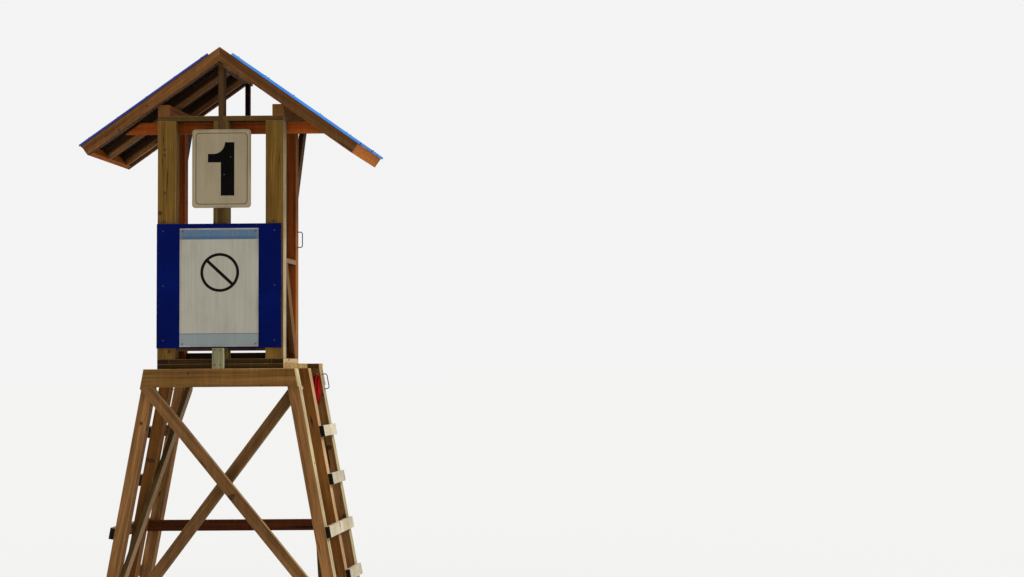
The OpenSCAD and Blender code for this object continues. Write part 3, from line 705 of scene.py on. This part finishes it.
# The plain figure 1: a stem, and a flag whose upper side sweeps up to the shoulder
plate_low, plate_high = board_boxes["number_plate"]
plate_x, plate_z = (plate_low.x + plate_high.x) / 2, (plate_low.z + plate_high.z) / 2
numeral_foot, numeral_top = plate_z - 210 * MM, plate_z + 204 * MM
stem_left, stem_right = plate_x - 6 * MM, plate_x + 99 * MM
flag_left, flag_foot, flag_rise = plate_x - 106 * MM, plate_z + 48 * MM, 66 * MM
flag_curve_x, shoulder = plate_x - 62 * MM, plate_x + 26 * MM
numeral_bm = bmesh.new()
sweep = [
    (
        flag_curve_x + (shoulder - flag_curve_x) * sin(radians(a)),
        numeral_top - (numeral_top - flag_foot - flag_rise) * cos(radians(a)),
    )
    for a in range(0, 91, 9)
]
flat_face(numeral_bm, [
    (stem_left, numeral_foot), (stem_right, numeral_foot), (stem_right, numeral_top),
    *reversed(sweep),
    (flag_left, flag_foot + flag_rise), (flag_left, flag_foot), (stem_left, flag_foot),
], plate_low.y)
vinyl("numeral", "#050404", numeral_bm)

# A thin line with rounded corners runs round the plate
border_inset, border_width, border_r = 27 * MM, 5 * MM, 30 * MM
half_w = (plate_high.x - plate_low.x) / 2 - border_inset
half_h = (plate_high.z - plate_low.z) / 2 - border_inset
border_bm = bmesh.new()
border = flat_face(border_bm, [
    (
        plate_x + sx * (half_w - border_r) + border_r * cos(radians(turn + a)),
        plate_z + sz * (half_h - border_r) + border_r * sin(radians(turn + a)),
    )
    for turn, sx, sz in ((0, 1, 1), (90, -1, 1), (180, -1, -1), (270, 1, -1))
    for a in range(0, 91, 15)
], plate_low.y)
border_bm.normal_update()
strip_along_rim(border_bm, [border], border_width)
vinyl("plate_border", "#4a3a26", border_bm)

# A bare ring with a slash stands in the middle of the notice board
notice_low, notice_high = board_boxes["notice_board"]
ring_x, ring_z = (notice_low.x + notice_high.x) / 2 + 6 * MM, notice_low.z + 572 * MM
ring_r, ring_width, slash_width = 150 * MM, 22 * MM, 24 * MM
slash_turn, slash_sunk = radians(-43), 0.1 * MM
ring_bm = bmesh.new()
stand = Matrix.Translation((ring_x, notice_low.y, ring_z)) @ Matrix.Rotation(radians(90), 4, "X")
bmesh.ops.create_circle(ring_bm, cap_ends=True, segments=72, radius=ring_r, matrix=stand)
strip_along_rim(ring_bm, ring_bm.faces[:], ring_width)
slash_half = ring_r - ring_width / 2
slash = stand @ Matrix.Rotation(slash_turn, 4, "Z") @ Matrix.Translation((0, 0, -slash_sunk))
bmesh.ops.create_grid(
    ring_bm, x_segments=1, y_segments=1, size=1,
    matrix=slash @ Matrix.Diagonal((slash_half, slash_width / 2, 1, 1)),
)
vinyl("notice_ring", "#150b09", ring_bm)

# Two screws go through the numeral, and the others in rows along the boards' edges
board_bm = bmesh.new()
REARWARD = (0, -1, 0)
screws = [
    (plate_x + x * MM, plate_low.y - VINYL_RISE, plate_z + z * MM) for x, z in ((70, 88), (20, -47))
]
notice_in = 22 * MM
screws += [
    (x, notice_low.y, z)
    for x in (notice_low.x + notice_in, notice_high.x - notice_in)
    for z in (notice_low.z + notice_in, notice_high.z - notice_in)
]
panel_low, panel_high = board_boxes["back_panel"]
panel_in, above_foot, below_top = 50 * MM, 60 * MM, 55 * MM
panel_middle = (panel_low.z + panel_high.z) / 2
screws += [
    (x, panel_low.y, z)
    for x in (panel_low.x + panel_in, panel_high.x - panel_in)
    for z in (panel_low.z + above_foot, panel_middle, panel_high.z - below_top)
]
stub_low, stub_high = board_boxes["panel_stub"]
screws += [
    (stub_low.x + x * MM, stub_low.y, z)
    for x in (22, 64)
    for z in (stub_high.z - 14 * MM, stub_low.z + 30 * MM)
]
on_boards = [(place, REARWARD) for place in screws]
heads(board_bm, on_boards, radius=6 * MM, rise=2.4 * MM, sides=12)
board_screw_steel = rusty_steel("board_screw_steel", "#4c4a47", "#4a2a18", 0.6)
new_piece("board_screws", board_bm, board_screw_steel)


# Nails and bolts
# Common nails hold the frame, driven home and rusting, and round-headed bolts go through
# the posts and the left rake. Their heads show where one board crosses another.

FORWARD, UPWARD = (0, 1, 0), (0, 0, 1)
leg_side = Vector((cos(leg_lean), 0, sin(leg_lean)))
leg_up = Vector(LEG_LENGTH)
leg_boxes = {name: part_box(name) for name in ("legs_rear", "legs_mid", "legs_front")}
rear_low, rear_high = leg_boxes["legs_rear"]
# The legs are square, so a level cut through one is wider than it is deep
leg_width = (rear_high.y - rear_low.y) / cos(leg_lean)


def leg_middle(z):
    """X of a right leg's centre line at a height."""
    return base_half + (base_top - z) * tan(leg_lean) - leg_width / 2


nails, flush_nails = [], []
for node, way, kept in (("rear_beam", REARWARD, nails), ("front_beam", FORWARD, flush_nails)):
    low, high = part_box(node)
    y = low.y if way is REARWARD else high.y
    beam_nails = (
        (high.z - 28 * MM, -24 * MM), (high.z - 40 * MM, 22 * MM),
        (low.z + 45 * MM, -20 * MM), (low.z + 26 * MM, 24 * MM),
    )
    for z, off_middle in beam_nails:
        kept.append(((leg_middle(z) + off_middle, y, z), way))

first_rung, rung_pitch = 460 * MM, 380 * MM
for rung in range(4):
    climb = (base_top - first_rung - rung_pitch * rung) / cos(leg_lean)
    for leg, (leg_low, _) in leg_boxes.items():
        # Only the third rung from the top runs on to the rear leg
        if leg == "legs_rear" and rung != 2:
            continue
        # The rungs end halfway across the front legs
        near, far = (11, 33) if leg == "legs_front" else (24, 62)
        for across_leg, down_rung in ((near, 22), (far, 62)):
            foot = Vector((ground_out, leg_low.y + across_leg * MM, 0))
            spot = foot + leg_up * (climb - down_rung * MM) + leg_side * board_t
            nails.append((spot, leg_side))
nails = mirrored(nails)

# Two nails hold each deck board to each joist, a little to one side of its middle
deck_low, deck_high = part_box("deck_boards")
deck_widths, deck_gap, nail_in = (89, 140, 140, 89, 89, 140, 89, 140), 4.4 * MM, 22 * MM
rim_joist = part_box("deck_joists")[1].x - board_t / 2
row = deck_low.y
for width in deck_widths:
    for x in (0.0, rim_joist, -rim_joist):
        for y in (row + nail_in, row + width * MM - nail_in):
            drift = 3 * MM if y > 0 else -4 * MM
            nails.append(((x + drift, y, deck_high.z), UPWARD))
    row += width * MM + deck_gap
nail_r, nail_rise, flush_sunk = 4.6 * MM, 1.2 * MM, 1.18 * MM
nail_bm = bmesh.new()
heads(nail_bm, nails, nail_r, nail_rise)
heads(nail_bm, mirrored(flush_nails), nail_r, nail_rise, sunk=flush_sunk)

# Places of the bolts in X and Z
rake_bolts = ((-562, 4115), (-778, 3930))
post_bolts = ((-436, 3781), (-436, 3735), (-436, 3442), (-436, 3222), (414, 3222))
rake_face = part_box("rear_rafter_left")[0].y
post_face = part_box("posts_rear")[0].y
bolts = [
    ((x * MM, face, z * MM), REARWARD)
    for face, places in ((rake_face, rake_bolts), (post_face, post_bolts))
    for x, z in places
]
bolt_bm = bmesh.new()
heads(bolt_bm, bolts, radius=10 * MM, rise=3.5 * MM, sides=16)
nail_steel = rusty_steel("nail_steel", "#55504a", "#4b2b18", 0.8)
new_piece("nails", nail_bm, nail_steel)
bolt_steel = rusty_steel("bolt_steel", "#3c3a38", "#3a2416", 0.6)
new_piece("bolts", bolt_bm, bolt_steel)


# Handles
# D-shaped handles of round steel bar, bent cold. Their ends are driven into the front
# posts and the front legs, where someone who climbs up reaches for them.

give("grab_handles", rusty_steel("handle_steel", "#57585a", "#5a3a28", 0.25))


# Pennant
# A small tapering pennant of thin red cloth, gathered along its broad end and hung by a
# sewn loop from a wooden peg in the leg.

peg_wood = lumber("peg_wood", ACROSS, "#4a3018", "#6b4826", "#a58458")
finish_node("pennant_peg", peg_wood, 0.8 * MM)
peg_low, peg_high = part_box("pennant_peg")
peg_r = (peg_high.z - peg_low.z) / 2
peg_z = (peg_low.z + peg_high.z) / 2
furl_low, furl_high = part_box("pennant")
# The cloth is fuller than its plain solid on the side away from the leg, and clear of it
fuller, off_leg, end_gap = 4 * MM, 1.5 * MM, 2 * MM
furl_x = (furl_low.x + furl_high.x) / 2 + fuller
furl_y = (furl_low.y + furl_high.y) / 2
furl_r = (furl_high.x - furl_low.x) / 2 - off_leg + fuller
cloth_top = peg_z - peg_r - end_gap
broad_end, blunt_end, cloth_t = 260 * MM, 150 * MM, 0.8 * MM
cloth_l = cloth_top - furl_low.z - end_gap
pleats, rows, columns = 7, 40, 182
# Share of the furl's radius at shares of the way down
furl_shape = (
    (0.0, 0.55), (0.05, 0.78), (0.13, 0.98), (0.4, 1.0),
    (0.59, 0.99), (0.75, 0.88), (0.93, 0.65), (1.0, 0.52),
)


def furl_reach(share):
    """Outer radius of the furled cloth at a share of the way down."""
    for (s0, r0), (s1, r1) in zip(furl_shape, furl_shape[1:]):
        if share <= s1:
            t = (share - s0) / (s1 - s0)
            return furl_r * (r0 + (r1 - r0) * t)
    return furl_r * furl_shape[-1][1]


def pleated_row(reach, depth, share):
    """Points round a pleated ring, open at one side, and the running length along it."""
    points, run = [], [0.0]
    closed = 0.96
    for i in range(columns + 1):
        a = 2 * pi * closed * i / columns
        # The pleats wind round on the way down, and no two are alike
        lean = pleats * a + 1.6 * share + 0.5 * sin(a + 3.0 * share)
        ripple = cos(lean + 0.35 * sin(lean)) * (0.82 + 0.18 * sin(2 * a + 2.2 * share))
        out = reach * (1 + depth * ripple) / (1 + depth)
        points.append(Vector((out * cos(a), out * sin(a), 0)))
        if i:
            run.append(run[-1] + (points[-1] - points[-2]).length)
    return points, run


cloth_bm = bmesh.new()
cloth_uv = cloth_bm.loops.layers.uv.new("cloth")
made_rows = []
for j in range(rows + 1):
    share = j / rows
    row_w = broad_end + (blunt_end - broad_end) * share
    shallow, deep = 0.0, 0.97
    for _ in range(24):
        depth = (shallow + deep) / 2
        points, run = pleated_row(furl_reach(share), depth, share)
        if run[-1] > row_w:
            deep = depth
        else:
            shallow = depth
    made_rows.append([
        (
            cloth_bm.verts.new(Vector((furl_x, furl_y, cloth_top - share * cloth_l)) + point),
            Vector(((length / run[-1] - 0.5) * row_w, -share * cloth_l)),
        )
        for point, length in zip(points, run)
    ])
for upper, lower in zip(made_rows, made_rows[1:]):
    for i in range(columns):
        corners = (upper[i], lower[i], lower[i + 1], upper[i + 1])
        face = cloth_bm.faces.new([c[0] for c in corners])
        face.smooth = True
        for loop, corner in zip(face.loops, corners):
            loop[cloth_uv].uv = corner[1]
bmesh.ops.recalc_face_normals(cloth_bm, faces=cloth_bm.faces)


def red_cloth(name):
    """Plain-woven flag cloth with a stitched hem, darker in patches."""
    material, r = new_finish(name)
    coords = r.add("TexCoord", {}).outputs
    u, v, _ = r.parts(coords["UV"])
    thread, stitch_l, hem = 0.9 * MM, 3 * MM, 9 * MM
    warp = r.calc("SINE", r.calc("MULTIPLY", u, 2 * pi / thread))
    weft = r.calc("SINE", r.calc("MULTIPLY", v, 2 * pi / thread))
    weave = r.calc("MULTIPLY", warp, weft)
    soiled = r.noise(coords["Object"], (28.0, 28.0, 12.0), 4.0, 0.6)
    to_edge = r.calc("MINIMUM", r.calc("MULTIPLY", v, -1.0), r.calc("ADD", v, cloth_l))
    seam = r.calc("ABSOLUTE", r.calc("SUBTRACT", to_edge, hem))
    dashes = r.step(r.calc("SINE", r.calc("MULTIPLY", u, 2 * pi / stitch_l)), -0.5, 0.0)
    stitch = r.calc("MULTIPLY", r.step(seam, 0.9 * MM, 0.5 * MM), dashes)
    body = r.mix(r.step(soiled, 0.3, 0.7), tone("#960905"), tone("#6e0504"))
    # The threads' crowns are lighter, a painted highlight on the weave
    body = r.mix(r.step(weave, -1.0, 1.0, 0.0, 0.14), body, tone("#a62416"))
    body = r.mix(r.calc("MULTIPLY", stitch, 0.6), body, tone("#4f0403"))
    relief = r.calc("MULTIPLY_ADD", weave, 0.06 * MM, r.calc("MULTIPLY", stitch, -0.25 * MM))
    others = {"Sheen Weight": 0.05, "Sheen Roughness": 0.5, "Normal": r.bump(relief)}
    r.finish(body, 0.88, 0.06, others)
    return material


flag_cloth = red_cloth("flag_cloth")
furled = new_piece("furled_pennant", cloth_bm, flag_cloth)
thick = furled.modifiers.new("cloth_thickness", "SOLIDIFY")
thick.thickness = cloth_t
thick.offset = 0
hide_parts("pennant")

# The loop goes over the peg, and its two tails are sewn to the gathered hem
loop_bm = bmesh.new()
band_t, loop_w = 1.2 * MM, 14 * MM
loop_r, loop_back, tail_l = peg_r + band_t, furl_y - loop_w / 2, 14 * MM
loop_line = [
    Vector((furl_x + loop_r * sin(radians(a)), loop_back, peg_z + loop_r * cos(radians(a))))
    for a in range(-120, 121, 15)
]
left_tail = Vector((furl_x - band_t, loop_back, cloth_top - tail_l))
right_tail = Vector((furl_x + band_t, loop_back, cloth_top - tail_l))
loop_line = [left_tail, *loop_line, right_tail]
loop_verts = [loop_bm.verts.new(p) for p in loop_line]
loop_edges = [loop_bm.edges.new(pair) for pair in zip(loop_verts, loop_verts[1:])]
grown = bmesh.ops.extrude_edge_only(loop_bm, edges=loop_edges)["geom"]
bmesh.ops.translate(
    loop_bm, vec=(0, loop_w, 0), verts=[g for g in grown if isinstance(g, bmesh.types.BMVert)]
)
for face in loop_bm.faces:
    face.smooth = True
bmesh.ops.recalc_face_normals(loop_bm, faces=loop_bm.faces)
pennant_loop = new_piece("pennant_loop", loop_bm, flag_cloth)
band = pennant_loop.modifiers.new("band_thickness", "SOLIDIFY")
band.thickness = band_t
band.offset = 0


# Studio
# Plain pale floor and backdrop, even light from all round, and a broad soft lamp high
# on the right.

floor_bm = bmesh.new()
bmesh.ops.create_grid(floor_bm, x_segments=1, y_segments=1, size=400)
floor_mesh = bpy.data.meshes.new("floor")
floor_bm.to_mesh(floor_mesh)
floor_bm.free()
floor = bpy.data.objects.new("floor", floor_mesh)
bpy.context.scene.collection.objects.link(floor)
floor_paint, r = new_finish("floor_paint")
r.finish((0.755, 0.752, 0.745, 1), 0.9, 0.0)
floor_mesh.materials.append(floor_paint)

world = bpy.data.worlds.new("studio")
world.use_nodes = True
bpy.context.scene.world = world
# The backdrop that the camera and the reflections see is brighter than its light
BACKDROP, AMBIENT = 0.90, 0.60
r = Recipe(world.node_tree)
seen = r.add("LightPath", {}).outputs
shown = r.calc("MAXIMUM", seen["Is Glossy Ray"], seen["Is Transmission Ray"])
shown = r.calc("MAXIMUM", seen["Is Camera Ray"], shown)
strength = r.calc("MULTIPLY_ADD", shown, BACKDROP - AMBIENT, AMBIENT)
r.fill(world.node_tree.nodes["Background"], {"Color": (1, 1, 1, 1), "Strength": strength})

key = bpy.data.lights.new("key_lamp", "SUN")
key.energy = 2.6
key.angle = radians(20)
key_lamp = bpy.data.objects.new("key_lamp", key)
key_lamp.rotation_euler = (radians(44), 0, radians(88))
bpy.context.scene.collection.objects.link(key_lamp)


# Camera
# It stands where the photograph was taken from, low and some way to the right. The
# sideways shift gives the photograph's framing, with the tower left of the middle.

image_width, focal_pixels = 1024, 1651
stand_x, stand_y, eye_height = 3.595, -13.136, 2.070
camera_data = bpy.data.cameras.new("camera")
camera_data.sensor_width = 36
camera_data.lens = camera_data.sensor_width * focal_pixels / image_width
camera_data.shift_x = -0.15
camera_data.shift_y = 0.02
camera = bpy.data.objects.new("camera", camera_data)
pitch, yaw, roll = (radians(a) for a in (2.007, -0.721, -0.415))
ahead = Vector((sin(yaw) * cos(pitch), cos(yaw) * cos(pitch), sin(pitch)))
level = Vector((cos(yaw), -sin(yaw), 0))
above = level.cross(ahead)
right = level * cos(roll) + above * sin(roll)
top = above * cos(roll) - level * sin(roll)
facing = Matrix((right, top, -ahead)).transposed().to_4x4()
camera.matrix_world = Matrix.Translation((stand_x, stand_y, eye_height)) @ facing
bpy.context.scene.collection.objects.link(camera)
bpy.context.scene.camera = camera
bpy.context.scene.view_settings.view_transform = "Standard"
